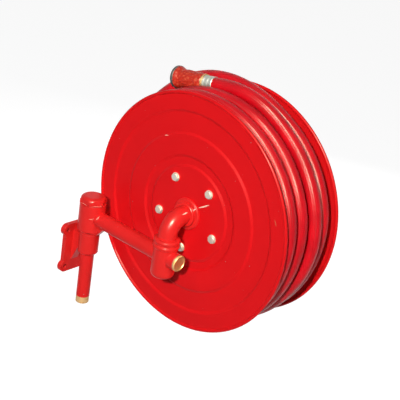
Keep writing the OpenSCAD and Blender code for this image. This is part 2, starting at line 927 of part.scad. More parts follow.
module back_bolts() {
    grip = disc_washer_t + disc_t + barrel_flange_t;
    color("gainsboro")
        on_axle(drum_w + disc_washer_t) mirror([0, 0, 1]) bolt_pattern() bolt(grip + nut_h + 3);
}

module back_washers() {
    color("gainsboro") on_axle(drum_w) bolt_pattern() disc_washer();
}

module back_nuts() {
    color("gainsboro")
        on_axle(drum_w - disc_t - barrel_flange_t - nut_h) bolt_pattern() nut();
}

module hub_outlet() {
    color("goldenrod")
        away_from_axle(outlet_turn, outlet_at)
            translate([0, 0, outlet_from]) tube(outlet_r, outlet_bore_r, tail_nut[1] - 1 - outlet_from);
}

module hose_tail() {
    barb_r = hose_bore / 2 - fix_gap;
    color("goldenrod")
    away_from_axle(outlet_turn, outlet_at)
    difference() {
        union() {
            translate([0, 0, tail_nut[0]]) hexagon(tail_nut_w, tail_nut[1] - tail_nut[0]);
            translate([0, 0, tail_nut[1] - 1]) cylinder(r = barb_r, h = tail_end - tail_nut[1] + 1);
        }
        translate([0, 0, tail_nut[0] - 1]) cylinder(r = outlet_r + fix_gap, h = tail_nut[1] - tail_nut[0]);
        cylinder(r = outlet_bore_r, h = tail_end + 1);
    }
}

module hose_lead() {
    color("red")
        away_from_axle(outlet_turn, outlet_at)
            translate([0, 0, lead[0]]) tube(hose_r, hose_bore / 2, lead[1] - lead[0]);
}

module hose_clamp() {
    color("silver")
    away_from_axle(outlet_turn, outlet_at)
    difference() {
        union() {
            translate([0, 0, clamp_from]) cylinder(r = hose_r + clamp_band, h = clamp_w);
            translate([hose_r, -clamp_w / 2, clamp_from]) cube([6 * clamp_band, clamp_w, clamp_w]);
        }
        cylinder(r = hose_r + fix_gap, h = barrel_d);
    }
}

module barrel_grommet() {
    color("black")
    difference() {
        away_from_axle(outlet_turn, outlet_at)
            translate([0, 0, barrel_in_r - grommet_lip])
                cylinder(r = hose_r + grommet_wall + 3, h = barrel_t + 2 * grommet_lip);
        away_from_axle(outlet_turn, outlet_at) cylinder(r = hose_r + fix_gap, h = barrel_d);
        // Groove that the barrel's wall fills
        difference() {
            on_axle(0) tube(barrel_r + fix_gap, barrel_in_r - fix_gap, drum_w);
            away_from_axle(outlet_turn, outlet_at)
                cylinder(r = hose_r + grommet_wall - fix_gap, h = barrel_d);
        }
    }
}

module hose_core() {
    recess_r = wind_r - start_dip - hose_r - free_gap;
    color("firebrick")
    difference() {
        on_axle(disc_t + core_side)
            rotate_extrude($fn = 128)
                translate([barrel_r + free_gap, 0])
                    square([core_r - barrel_r - free_gap, drum_w - 2 * disc_t - 2 * core_side]);
        // Pocket for the grommet and the hose lead
        away_from_axle(outlet_turn, outlet_at)
            cylinder(r = hose_r + grommet_wall + 3 + free_gap, h = barrel_r + grommet_lip + 1);
        away_from_axle(outlet_turn, outlet_at) cylinder(r = hose_r + free_gap, h = lead[1] + free_gap);
        // Recess out of which the outer layer climbs
        on_axle(first_turn - recess_w / 2)
            rotate_extrude(angle = 96, start = -(start_T + 95), $fn = 128)
                translate([recess_r, 0]) square([disc_r - recess_r, recess_w]);
        on_axle(first_turn - recess_w / 2)
            rotate([0, 0, -start_T])
                translate([recess_r - 1, -4, -0.5]) cube([disc_r, hose_d + free_gap + 4, recess_w + 1]);
    }
}

module hose_winding() {
    color("red") polyhedron(points = wind_points, faces = wind_faces, convexity = 10);
}

module hose_ferrule() {
    color("silver")
        on_nozzle(0) tube(ferrule_d / 2, hose_bore / 2, ferrule_len);
}

module nozzle_tail() {
    color("goldenrod")
    on_nozzle(0)
    difference() {
        union() {
            translate([0, 0, 1]) cylinder(r = hose_bore / 2 - fix_gap, h = ferrule_len);
            translate([0, 0, ferrule_len]) cylinder(d = nozzle_tail_d, h = tail_flange_t);
            translate([0, 0, ferrule_len])
                cylinder(r = tail_journal_r, h = tail_flange_t + tail_journal_len);
        }
        cylinder(r = tail_bore_r, h = nozzle_len);
    }
}

module nozzle_body() {
    color("orangered")
    on_nozzle(0)
    difference() {
        rotate_extrude()
            polygon([
                [0, nozzle_from],
                [nozzle_tail_d / 2 - 1, nozzle_from],
                [nozzle_tail_d / 2, nozzle_from + 1],
                [nozzle_waist_d / 2, nozzle_to - flare_len],
                [flare_r - 2.5, nozzle_to - flare_len / 2],
                [flare_r, nozzle_to - 2],
                [flare_r, nozzle_to],
                [spigot_r, nozzle_to],
                [spigot_r, nozzle_to + spigot_len],
                [0, nozzle_to + spigot_len]
            ]);
        translate([0, 0, nozzle_from - 1])
            cylinder(r = tail_journal_r + run_gap, h = tail_journal_len + 2);
        translate([0, 0, nozzle_from]) cylinder(r = tail_bore_r, h = nozzle_len + bumper_len);
        translate([0, 0, nozzle_to - jet_seat]) cylinder(r = jet_r + fix_gap, h = jet_seat + bumper_len);
    }
}

module nozzle_bumper() {
    color("black")
        on_nozzle(nozzle_to)
            rotate_extrude()
                polygon([
                    [spigot_r + fix_gap, 0],
                    [bumper_d / 2, 0],
                    [bumper_d / 2, bumper_len - 3],
                    [bumper_d / 2 - 3, bumper_len],
                    [spigot_r + fix_gap, bumper_len]
                ]);
}

module jet_insert() {
    color("goldenrod")
    on_nozzle(nozzle_to - jet_seat)
    difference() {
        cylinder(r = jet_r, h = jet_seat + spigot_len - 1);
        translate([0, 0, -1]) cylinder(r1 = tail_bore_r, r2 = jet_d / 2, h = 0.75 * jet_seat);
        cylinder(d = jet_d, h = jet_seat + bumper_len);
    }
}

wall_bracket();
inlet_pipe();
inlet_nipple();
swivel_spindle();
swivel_washer();
swivel_seals();
swivel_circlip();
swivel_head();
swivel_bushes();
cap_gasket();
swivel_cap();
arm_pipe();
end_casting();
end_plug();
plug_washer();
union_collar();
elbow();
hub_spindle();
hub_seals();
hub();
hub_bushes();
hub_gland();
front_disc();
back_disc();
barrel();
front_bolts();
front_washers();
front_nuts();
back_bolts();
back_washers();
back_nuts();
hub_outlet();
hose_tail();
hose_lead();
hose_clamp();
barrel_grommet();
hose_core();
hose_winding();
hose_ferrule();
nozzle_tail();
nozzle_body();
nozzle_bumper();
jet_insert();
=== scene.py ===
"""Looks of the fire hose reel: paint, metals, the wound hose, the nozzle, light and camera.

Lengths are in metres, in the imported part's frame. The origin is the middle of the wall plate's
back face, +X leads out of the wall along the arm, +Y from the front disc to the back disc, and +Z
up.
"""

import json
import math

import bpy
import numpy as np
from mathutils import Matrix, Vector


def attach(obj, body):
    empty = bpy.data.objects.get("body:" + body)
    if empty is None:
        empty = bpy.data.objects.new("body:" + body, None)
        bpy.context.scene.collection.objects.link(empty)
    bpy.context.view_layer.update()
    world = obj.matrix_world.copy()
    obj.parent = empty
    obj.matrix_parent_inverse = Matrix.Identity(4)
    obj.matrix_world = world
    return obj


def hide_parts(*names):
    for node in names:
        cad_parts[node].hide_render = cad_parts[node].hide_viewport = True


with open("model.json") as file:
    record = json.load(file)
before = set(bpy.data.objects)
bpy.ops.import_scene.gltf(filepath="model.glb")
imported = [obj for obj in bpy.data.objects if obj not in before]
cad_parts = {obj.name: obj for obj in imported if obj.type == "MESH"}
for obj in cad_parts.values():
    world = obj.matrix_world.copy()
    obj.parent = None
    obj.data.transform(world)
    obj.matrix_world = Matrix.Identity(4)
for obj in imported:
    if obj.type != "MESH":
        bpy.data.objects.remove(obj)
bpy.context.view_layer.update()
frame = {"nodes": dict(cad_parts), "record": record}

MM = 0.001

# The drum and its axle, as in the part's source
AXLE_X, AXLE_Z = 303 * MM, 196 * MM
DISC_Y = 58 * MM                 # outer face of the front disc
BARREL_R = 104 * MM
LAYERS_FRONT, LAYERS_BACK = DISC_Y + 6.3 * MM, DISC_Y + 185.7 * MM

# The hose and its winding, as in the part's source. Angles are unwrapped, in degrees from +X
# towards +Z, and a pair of them is where a rise or a shift starts and ends.
HOSE_R = 16.5 * MM
WIND_R = 268 * MM                # radius of the outer layer's middle
FIRST_TURN = 31 * MM             # from the front disc to the first turn's middle
TURN_PITCH = 40 * MM             # between turns of the outer layer
INNER_PITCH = 34.75 * MM         # between turns of the layer below it
INNER_TURNS = 4
START_DIP = 35 * MM              # how much nearer to the axle a layer starts
FIRST_T, OUTER_T, LAST_T = -1500.0, 158.0, 1535.4
START_RISE = 80                  # angle over which the hose comes up to the inner layer
OUTER_RISE = (165, 250)          # from the inner layer to the outer one
INNER_SHIFT = 60                 # half the angle of each shift across the inner layer
TIGHT_RISE = (60, 150)           # where the inner layer's slack ends
TO_SECOND, TO_FOURTH, TO_THIRD = (470, 570), (835, 885), (1196, 1246)
HUMP, HUMP_RISE, HUMP_FALL = 33.8 * MM, (1140, 1212), (1238, 1260)
SLACK, SLACK_LEAN = 8 * MM, 6 * MM
SLACK_AT, SLACK_REACH = -55, 75
LAST_TURN_T, LAST_SLACK = 1200, 0.5
PROUD, PROUD_RISE = 9 * MM, (1402, 1444)
NOZZLE_SHIFT, NOZZLE_SHIFT_T = 8 * MM, 1485
NOZZLE_LIFT, NOZZLE_RISE = 9 * MM, (1490, 1525)
NOZZLE_BOW = 0.0145 * MM         # per square degree past the nozzle's rise
STRAIGHT_END = 2 * HOSE_R        # straight hose before the ferrule

# The nozzle, as in the part's source, in millimetres: places along it from the ferrule's hose end,
# and radii
FERRULE_END, FERRULE_R, FERRULE_BORE = 29.0, 17.5, 12.6
BODY_START, THREAD_END, JET_SEAT = 32.3, 63.3, 94.3
FLARE_END, MOUTH_END, BUMPER_END = 110.3, 116.3, 118.3
THREAD_R, WATER_R, JET_R = 13.05, 9.0, 12.02
LIP_R, FLARE_R, BUMPER_R = 21.0, 26.0, 27.0


# ---------------------------------------------------------------- surfaces

SHARP = math.radians(40)         # edges of the new pieces are shaded sharp past this turn


def grid_faces(rows, columns, wrap_rows):
    """Cells of a grid of corners whose columns wrap round, as rows and columns of their four
    corners, unwrapped."""
    i = np.arange(rows if wrap_rows else rows - 1)[:, None]
    i, j = np.broadcast_arrays(i, np.arange(columns)[None, :])
    row = np.stack([i, i, i + 1, i + 1], -1).reshape(-1, 4)
    column = np.stack([j, j + 1, j + 1, j], -1).reshape(-1, 4)
    return row, column


def volume(points, faces):
    """Signed volume of a closed mesh: the sum of the tetrahedra from the origin to each face's
    triangles."""
    total = 0.0
    for size in (3, 4):
        cells = np.array([f for f in faces if len(f) == size])
        for k in range(1, size - 1) if len(cells) else ():
            a, b, c = points[cells[:, 0]], points[cells[:, k]], points[cells[:, k + 1]]
            total += np.einsum("ij,ij->", a, np.cross(b, c)) / 6
    return total


def make_piece(name, body, slot, points, wrap_rows, caps=False, uv=None):
    """A closed mesh from a grid of points (rows, columns, 3) whose columns wrap round. With caps, a
    middle point closes each end row. uv gives the length along at each row, and its second
    coordinate goes from 0 to 1 once round."""
    rows, columns = points.shape[:2]
    row, column = grid_faces(rows, columns, wrap_rows)
    faces = ((row % rows) * columns + column % columns).tolist()
    corners = points.reshape(-1, 3)
    if caps:
        j = np.arange(columns)
        nxt = (j + 1) % columns
        first, last = rows * columns, rows * columns + 1
        corners = np.vstack([corners, points[0].mean(0), points[-1].mean(0)])
        end = (rows - 1) * columns
        faces += np.stack([j, np.full(columns, first), nxt], -1).tolist()
        faces += np.stack([end + nxt, np.full(columns, last), end + j], -1).tolist()
    mesh = bpy.data.meshes.new(name)
    inside_out = volume(corners - corners.mean(0), faces) < 0
    mesh.from_pydata(corners.tolist(), [], [f[::-1] for f in faces] if inside_out else faces)
    if uv is not None:
        along = np.append(uv, uv[-1])[row]
        around = column / columns
        cells = np.stack([along, around], -1)
        cap_cells = np.zeros((len(faces) - len(row), 3, 2))
        if inside_out:
            cells = cells[:, ::-1]
        layer = mesh.uv_layers.new(name="along_and_round")
        layer.data.foreach_set("uv", np.concatenate([cells.ravel(), cap_cells.ravel()]))
    mesh.shade_smooth()
    mesh.set_sharp_from_angle(angle=SHARP)
    made = bpy.data.objects.new(name, mesh)
    bpy.context.scene.collection.objects.link(made)
    mesh.materials.append(finishes[slot])
    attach(made, body)
    return made


def unit(v):
    return v / np.linalg.norm(v, axis=-1, keepdims=True)


def ramp(t, start, end):
    """0 before start, 1 after end, with a smooth cubic step 3s^2 - 2s^3 between them."""
    s = np.clip((t - start) / (end - start), 0, 1)
    return s * s * (3 - 2 * s)


def turned(profile, origin, axis, sides, relief=None):
    """A closed profile of (along, radius) turned about an axis. relief(along, angle) adds to the
    radius."""
    axis = unit(np.array(axis, float))
    side = unit(np.cross(axis, [0, 1, 0] if abs(axis[1]) < 0.9 else [1, 0, 0]))
    up = np.cross(side, axis)
    angle = np.linspace(0, 2 * np.pi, sides, endpoint=False)
    along, radius = profile[:, :1], profile[:, 1:]
    radius = radius + (relief(along, angle[None, :]) if relief else 0 * angle[None, :])
    spoke = np.cos(angle)[None, :, None] * up + np.sin(angle)[None, :, None] * side
    return np.array(origin) + along[..., None] * axis + radius[..., None] * spoke


def rounded(corners, radius, steps=5):
    """A closed outline of (along, radius) points with each corner replaced by a curve: a quadratic
    Bezier that starts and ends at the given distance from the corner."""
    corners = np.array(corners, float)
    before, after = np.roll(corners, 1, 0), np.roll(corners, -1, 0)
    to_before, to_after = before - corners, after - corners
    shorter = np.minimum(np.linalg.norm(to_before, axis=1), np.linalg.norm(to_after, axis=1))
    reach = np.minimum(radius, 0.45 * shorter)
    a = corners + unit(to_before) * reach[:, None]
    b = corners + unit(to_after) * reach[:, None]
    t = np.linspace(0, 1, steps)[None, :, None]
    curve = (1 - t) ** 2 * a[:, None] + 2 * t * (1 - t) * corners[:, None] + t ** 2 * b[:, None]
    return curve.reshape(-1, 2)


# ---------------------------------------------------------------- finishes

class Value:
    """A socket's value. An expression on it adds Math nodes."""

    def __init__(self, finish, socket):
        self.finish, self.socket = finish, socket

    def math(self, operation, *others):
        sockets = dict(enumerate((self, *others)))
        return self.finish.add("ShaderNodeMath", {"operation": operation}, sockets)

    def __add__(self, other):
        return self.math("ADD", other)

    def __mul__(self, other):
        return self.math("MULTIPLY", other)

    def __sub__(self, other):
        return self.math("SUBTRACT", other)

    def __rsub__(self, other):
        return self.finish.add("ShaderNodeMath", {"operation": "SUBTRACT"}, {0: other, 1: self})

    __radd__ = __add__
    __rmul__ = __mul__


class Finish:
    """A procedural material round one Principled shader. Sockets are named with _ for a space."""

    def __init__(self, name, **constants):
        self.material = bpy.data.materials.new(name)
        self.material.use_nodes = True
        self.nodes = self.material.node_tree.nodes
        self.links = self.material.node_tree.links
        self.shader = self.nodes["Principled BSDF"]
        for socket, value in constants.items():
            self.feed(self.shader.inputs[socket.replace("_", " ")], value)
        self.place = self.add("ShaderNodeTexCoord", out="Object")

    def feed(self, socket, value):
        if isinstance(value, Value):
            self.links.new(value.socket, socket)
        elif socket.type == "RGBA" and len(value) == 3:
            socket.default_value = (*value, 1.0)
        else:
            socket.default_value = value

    def add(self, kind, settings=None, sockets=None, out=0):
        node = self.nodes.new(kind)
        for name, value in (settings or {}).items():
            setattr(node, name, value)
        for key, value in (sockets or {}).items():
            self.feed(node.inputs[key], value)
        return Value(self, node.outputs[out])

    def noise(self, scale, detail, place=None):
        sockets = {"Vector": place or self.place, "Scale": scale, "Detail": detail}
        return self.add("ShaderNodeTexNoise", None, sockets, "Fac")

    def step(self, value, low, high, to_low=0.0, to_high=1.0):
        """value taken smoothly from low..high to to_low..to_high."""
        return self.add("ShaderNodeMapRange", {"interpolation_type": "SMOOTHSTEP"},
                        {0: value, 1: low, 2: high, 3: to_low, 4: to_high})

    def mix(self, factor, a, b):
        return self.add("ShaderNodeMix", {"data_type": "RGBA"}, {0: factor, 6: a, 7: b}, 2)

    def stretch(self, x, y, z):
        return self.add("ShaderNodeMapping", None, {"Vector": self.place, "Scale": (x, y, z)})

    def bump(self, height, distance, edge=0.0):
        """Relief of that height, on a surface whose edges are shaded as rounded to the radius
        edge."""
        sockets = {"Height": height, "Distance": distance}
        if edge:
            sockets["Normal"] = self.add("ShaderNodeBevel", {"samples": 6}, {"Radius": edge})
        self.set(Normal=self.add("ShaderNodeBump", None, sockets))

    def set(self, **sockets):
        for socket, value in sockets.items():
            self.feed(self.shader.inputs[socket.replace("_", " ")], value)


PRIMER = (0.42, 0.30, 0.27)
# Colours of the painted highlights, from brightest to dimmest
BRIGHT_HIGHLIGHT, PALE_HIGHLIGHT, DIM_HIGHLIGHT = (0.95, 0.62, 0.48), (0.92, 0.40, 0.30), (0.62, 0.15, 0.08)
BRAID_PITCH, BRAID_STARTS = 5.2 * MM, 14


def shade(colour, factor):
    return tuple(c * factor for c in colour)


def painted(name, red, peel, grain, rough, shine, mottle=0.02, edge=0.0, painted_glints=()):
    """Gloss red paint: a slow mottle, an orange-peel skin of height peel, casting grain of height
    grain, and a few small chips down to the primer. It rounds edges to the radius edge. Each
    painted glint is a painted highlight: a light oval from one point to another that stands in for
    a line of reflected light, with half its level width and half its height in millimetres, and
    its colour."""
    f = Finish(name, Specular_IOR_Level=shine)
    cloud = f.step(f.noise(22, 3), 0.3, 0.7)
    colour = f.mix(cloud, shade(red, 1 - mottle), shade(red, 1 + mottle))
    chip = f.step(f.noise(150, 1), 0.80, 0.815)
    colour = f.mix(chip, colour, PRIMER)
    # Painted highlights: light ovals that stand in for lines of reflected light
    for start, end, width, height, highlight_colour in painted_glints:
        middle, half = (Vector(end) + Vector(start)) / 2, (Vector(end) - Vector(start)) / 2
        oval = f.add("ShaderNodeMapping", {"vector_type": "TEXTURE"}, {
            "Vector": f.place, "Location": middle,
            "Rotation": half.to_track_quat("X", "Z").to_euler(),
            "Scale": (half.length, width * MM, height * MM)})
        away = f.add("ShaderNodeVectorMath", {"operation": "LENGTH"}, {0: oval}, "Value")
        colour = f.mix(f.step(away + 0.5 * f.noise(260, 2), 1.3, 1.0), colour, highlight_colour)
    f.set(Base_Color=colour)
    f.set(Roughness=rough + 0.08 * f.noise(90, 2) + 0.3 * chip)
    f.bump(peel * f.noise(240, 2) + grain * f.noise(900, 3) - 0.2 * chip, 1 * MM, edge)
    return f.material


def metal(name, colour, stain, rough, lines=0.0, relief=0.05):
    """Bare metal: cloudy stains that are duller than the clean metal, and fine tool lines."""
    f = Finish(name, Metallic=1.0)
    cloud = f.step(f.noise(70, 4), 0.38, 0.68)
    fine = f.noise(1400, 2)
    f.set(Base_Color=f.mix(cloud, colour, stain))
    f.set(Roughness=rough + 0.22 * cloud + 0.08 * fine)
    across = f.noise(1.0, 2, f.stretch(2600, 160, 2600))
    f.bump(lines * across + relief * fine, 1 * MM)
    return f.material


def rubber(name, colour, rough):
    """Moulded rubber or fibre with a dusty bloom."""
    f = Finish(name)
    bloom = f.step(f.noise(120, 4), 0.4, 0.75)
    f.set(Base_Color=f.mix(bloom, colour, tuple(c + 0.035 for c in colour)))
    f.set(Roughness=rough + 0.2 * bloom)
    f.bump(0.06 * f.noise(1500, 2), 1 * MM)
    return f.material


def hose_cover():
    """Glossy red cover over a braid that shows through, as two sets of spiral ridges,
    sin(p)sin(q), with long scuffs."""
    red = (0.66, 0.004, 0.012)
    f = Finish("hose_cover", Specular_IOR_Level=0.11)
    uv = f.add("ShaderNodeUVMap", {"uv_map": "along_and_round"})
    parts = f.nodes.new("ShaderNodeSeparateXYZ")
    f.links.new(uv.socket, parts.inputs[0])
    along, around = Value(f, parts.outputs[0]), Value(f, parts.outputs[1])
    p, q = along * (2 * math.pi / BRAID_PITCH), around * (2 * math.pi * BRAID_STARTS)
    braid = (p + q).math("SINE") * (p - q).math("SINE")
    long_way = f.add("ShaderNodeMapping", None, {"Vector": uv, "Scale": (9, 22, 1)})
    scuff = f.step(f.noise(1.0, 4, long_way), 0.52, 0.72)
    cloud = f.step(f.noise(14, 3), 0.3, 0.7)
    colour = f.mix(cloud, shade(red, 0.86), shade(red, 1.08))
    f.set(Base_Color=f.mix(scuff * 0.45, colour, (0.30, 0.02, 0.02)))
    f.set(Roughness=0.23 + 0.14 * scuff + 0.04 * cloud)
    f.bump(0.20 * braid + 0.03 * f.noise(500, 2), 1 * MM)
    return f.material


def nozzle_plastic():
    """Orange-red moulded plastic, with lighter scuffs scattered at random."""
    f = Finish("nozzle_plastic", Specular_IOR_Level=0.14)
    scuff = f.step(f.noise(180, 4), 0.5, 0.72)
    f.set(Base_Color=f.mix(scuff * 0.8, (0.54, 0.026, 0.012), (0.78, 0.12, 0.05)))
    f.set(Roughness=0.34 + 0.2 * scuff)
    f.bump(0.08 * f.noise(700, 3), 1 * MM)
    return f.material


# Painted highlights for lines of reflected light: elbow and gland, under the cap, arm's joint, disc
casting_painted_highlights = [
    ((0.3189, 0.0215, 0.2080), (0.3197, 0.0385, 0.2102), 1.5, 1.4, BRIGHT_HIGHLIGHT),
    ((0.3237, 0.0523, 0.2127), (0.3299, 0.0523, 0.2193), 2.5, 1.5, BRIGHT_HIGHLIGHT),
    ((0.0440, -0.0290, 0.1392), (0.0655, -0.0290, 0.1388), 3.0, 0.9, PALE_HIGHLIGHT),
    ((0.0755, -0.0255, 0.1385), (0.0895, -0.0010, 0.1395), 4.0, 1.0, PALE_HIGHLIGHT),
    ((0.0735, -0.0275, 0.1055), (0.0908, -0.0175, 0.1095), 4.0, 0.9, PALE_HIGHLIGHT),
]
pipe_painted_highlights = [
    ((0.0903, -0.0178, 0.1092), (0.0945, -0.0105, 0.1184), 3.0, 1.0, PALE_HIGHLIGHT),
    ((0.0943, -0.0110, 0.1180), (0.0884, 0.0064, 0.1207), 3.0, 1.0, PALE_HIGHLIGHT),
]
disc_painted_highlights = [
    ((0.3329, 0.058, 0.2221), (0.3629, 0.058, 0.2419), 6, 1.7, BRIGHT_HIGHLIGHT),
    ((0.5419, 0.058, 0.2816), (0.5491, 0.058, 0.2674), 6, 1.0, DIM_HIGHLIGHT),
    ((0.2011, 0.058, 0.3525), (0.2143, 0.058, 0.3573), 6, 1.0, PALE_HIGHLIGHT),
]

# The casting, pipe and disc paints carry painted highlights
finishes = {
    "red_casting": painted(
        "casting_paint", (0.76, 0.020, 0.018), peel=0.14, grain=0.05, rough=0.26, shine=0.10,
        edge=1.6 * MM, painted_glints=casting_painted_highlights),
    "red_pipe": painted(
        "pipe_paint", (0.77, 0.018, 0.017), peel=0.06, grain=0.02, rough=0.30, shine=0.08,
        painted_glints=pipe_painted_highlights),
    "red_sheet": painted(
        "disc_paint", (0.73, 0.007, 0.010), peel=0.03, grain=0.01, rough=0.30, shine=0.06,
        mottle=0.012, edge=2.5 * MM, painted_glints=disc_painted_highlights),
    "cast_iron": metal(
        "oiled_cast_iron", (0.13, 0.13, 0.14), (0.06, 0.05, 0.045), rough=0.45, relief=0.2),
    "brass": metal(
        "turned_brass", (0.48, 0.31, 0.15), (0.24, 0.14, 0.06), rough=0.36, lines=0.03),
    "bronze": metal(
        "sintered_bronze", (0.60, 0.38, 0.17), (0.36, 0.22, 0.10), rough=0.42),
    "spring_steel": metal(
        "spring_steel", (0.52, 0.52, 0.54), (0.26, 0.25, 0.24), rough=0.30, lines=0.02),
    "zinc": metal(
        "zinc_plate", (0.44, 0.425, 0.40), (0.28, 0.26, 0.235), rough=0.36),
    "ferrule_metal": metal(
        "ferrule_metal", (0.27, 0.285, 0.285), (0.14, 0.165, 0.165), rough=0.42, relief=0.12),
    "seal_rubber": rubber("black_rubber", (0.018, 0.018, 0.02), rough=0.5),
    "red_fibre": rubber("red_fibre", (0.30, 0.035, 0.03), rough=0.7),
    "hose": hose_cover(),
    "nozzle_plastic": nozzle_plastic(),
}
for part in frame["record"]["subparts"]:
    shown = frame["nodes"][part["node"]].data.materials
    shown.clear()
    shown.append(finishes[part["material_slot"]])


# ---------------------------------------------------------------- hose

def hose_route(t):
    """Middle of the hose at the unwrapped angle t. The inner layer runs in even turns from the back
    disc to the front one and climbs on to the outer layer. That takes the first, second and fourth
    places across the drum, then crosses over its own turn to the third place and rises to the
    nozzle. Each outer turn is slack round SLACK_AT, the last one by half, which then stands
    proud."""
    inner = INNER_PITCH * sum(
        1 - ramp(t, -INNER_SHIFT - 360 * k, INNER_SHIFT - 360 * k) for k in range(INNER_TURNS))
    outer = TURN_PITCH * (ramp(t, *TO_SECOND) + 2 * ramp(t, *TO_FOURTH) - ramp(t, *TO_THIRD))
    slack = ramp(np.cos(np.radians(t - SLACK_AT)), math.cos(math.radians(SLACK_REACH)), 1)
    slack = slack * (t > OUTER_T) * np.where(t < LAST_TURN_T, 1.0, LAST_SLACK)
    across = DISC_Y + FIRST_TURN + np.where(t < OUTER_T, inner, outer)
    across -= NOZZLE_SHIFT * ramp(t, NOZZLE_SHIFT_T, LAST_T) + SLACK_LEAN * slack
    radius = WIND_R - START_DIP * (1 - ramp(t, *OUTER_RISE))
    radius -= START_DIP * (1 - ramp(t, FIRST_T, FIRST_T + START_RISE))
    radius -= SLACK * (slack + 1 - ramp(t, *TIGHT_RISE))
    radius += PROUD * ramp(t, *PROUD_RISE)
    radius += HUMP * ramp(t, *HUMP_RISE) * (1 - ramp(t, *HUMP_FALL))
    radius += NOZZLE_LIFT * ramp(t, *NOZZLE_RISE)
    radius -= NOZZLE_BOW * np.maximum(t - NOZZLE_RISE[1], 0) ** 2
    a = np.radians(t)
    return np.stack([AXLE_X + radius * np.cos(a), across, AXLE_Z + radius * np.sin(a)], -1)


def hose_tube(middle, radius, sides):
    """A circle of that radius carried along a line of points, square to it, with its first spoke
    away from the axle."""
    way = unit(np.gradient(middle, axis=0))
    spoke = middle - [AXLE_X, 0, AXLE_Z]
    spoke[:, 1] = 0
    spoke = unit(spoke)
    spoke = unit(spoke - (spoke * way).sum(1, keepdims=True) * way)
    beside = np.cross(way, spoke)
    a = np.linspace(0, 2 * np.pi, sides, endpoint=False)[None, :, None]
    return middle[:, None] + radius * (np.cos(a) * spoke[:, None] + np.sin(a) * beside[:, None])


ROUTE_POINTS, HOSE_SIDES, RING_SIDES = 1060, 36, 128
turns = hose_route(np.linspace(FIRST_T, LAST_T, ROUTE_POINTS))
just_before, just_after = hose_route(np.array([LAST_T - 0.01, LAST_T + 0.01]))
nozzle_way = unit(just_after - just_before)
hose_tip = turns[-1] + STRAIGHT_END * nozzle_way
straight = turns[-1] + np.linspace(0, 1, 9)[1:, None] * (hose_tip - turns[-1])
route = np.vstack([turns, straight])
length = np.append(0, np.cumsum(np.linalg.norm(np.diff(route, axis=0), axis=1)))
tube = hose_tube(route, HOSE_R, HOSE_SIDES)
wound_hose = make_piece("wound_hose", "drum", "hose", tube, False, caps=True, uv=length)
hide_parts("hose_winding")


def deep_layers():
    """The hose's layers nearer the barrel, as one ring turned about the axle: a closed outline
    whose sides bulge once for each layer and whose top bulges once for each turn, each bulge as
    |sin|."""
    layers, across = 3.5, 5
    inner_r = BARREL_R + 0.3 * MM
    outer_r = WIND_R - START_DIP - SLACK - HOSE_R - 0.5 * MM
    s = np.linspace(0, 1, 61)
    dent = HOSE_R * 0.35 * (1 - np.abs(np.sin(layers * np.pi * s)))
    radius = inner_r + (outer_r - inner_r) * s
    front = np.stack([LAYERS_FRONT + dent, radius], -1)
    back = np.stack([LAYERS_BACK - dent, radius], -1)[::-1]
    w = s[1:-1]
    width = LAYERS_BACK - LAYERS_FRONT - 2 * dent[-1]
    valley = HOSE_R * 0.6 * (1 - np.abs(np.sin(across * np.pi * w)))
    top = np.stack([LAYERS_FRONT + dent[-1] + width * w, outer_r - valley], -1)
    outline = np.vstack([front, top, back])
    return turned(outline, (AXLE_X, 0, AXLE_Z), (0, 1, 0), RING_SIDES)


ring = deep_layers()
along_ring = np.linspace(0, 0.5, len(ring))
inner_layers = make_piece("inner_layers", "drum", "hose", ring, True, uv=along_ring)
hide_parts("hose_core")


# ---------------------------------------------------------------- nozzle

def on_nozzle(profile, sides, relief=None):
    """A closed profile in millimetres along the nozzle, turned about its axis, with relief in
    millimetres."""
    return turned(np.array(profile, float) * MM, hose_tip, nozzle_way, sides,
                  relief and (lambda z, a: relief(z / MM, a) * MM))


def crimps(z, a):
    """Flats pressed into the ferrule: eight shallow facets, deepest at the middle of two bands
    along it."""
    inside = (z > 0.5) & (z < FERRULE_END - 0.5)
    wave = 4 * a + 0.4
    bands = sum(np.exp(-((z - middle) / 3.2) ** 4) for middle in (8.5, 20.5))
    pressed = 0.75 * bands * (0.35 + 0.65 * np.cos(wave) ** 2)
    pressed = pressed + 0.25 * np.abs(np.sin(wave)) * ramp(z, 2, 4)
    return np.where(inside, -pressed, 0.0)


z = np.linspace(0.8, FERRULE_END - 0.8, 45)
sleeve = np.stack([z, np.full(len(z), FERRULE_R)], -1)
end_r, bore_r = FERRULE_R - 0.6, FERRULE_BORE + 0.6
ferrule_outline = np.vstack([
    [[0.2, FERRULE_BORE], [0.0, bore_r], [0.0, end_r]], sleeve,
    [[FERRULE_END, end_r], [FERRULE_END, bore_r], [FERRULE_END - 0.2, FERRULE_BORE]]])
ferrule = make_piece("crimped_ferrule", "drum", "ferrule_metal",
                     on_nozzle(ferrule_outline, 96, crimps), True)
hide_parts("hose_ferrule")

WAIST_R = 20.5
OVAL_MIDDLE, OVAL_HALF_LENGTH, OVAL_HALF_WIDTH = 69, 21, 8.6
GRIP_START, GRIP_STOP = 44, 96


def grip(z, a):
    """Moulded grip round the waist: six oval rims that stand out 1.1 mm, with a rib of 0.9 mm
    inside each. Rims and ribs fade out as exp(-x^2) and exp(-x^4)."""
    sixth = np.pi / 3
    around = ((a + sixth / 2) % sixth - sixth / 2) * WAIST_R
    oval = np.sqrt((around / OVAL_HALF_WIDTH) ** 2 + ((z - OVAL_MIDDLE) / OVAL_HALF_LENGTH) ** 2)
    rib = np.exp(-(around / 1.6) ** 4) * ramp(z, 54, 57) * (1 - ramp(z, 81, 84))
    height = 1.1 * np.exp(-((oval - 1) / 0.13) ** 2) + 0.9 * rib
    return np.where((z > GRIP_START) & (z < GRIP_STOP), height, 0.0)


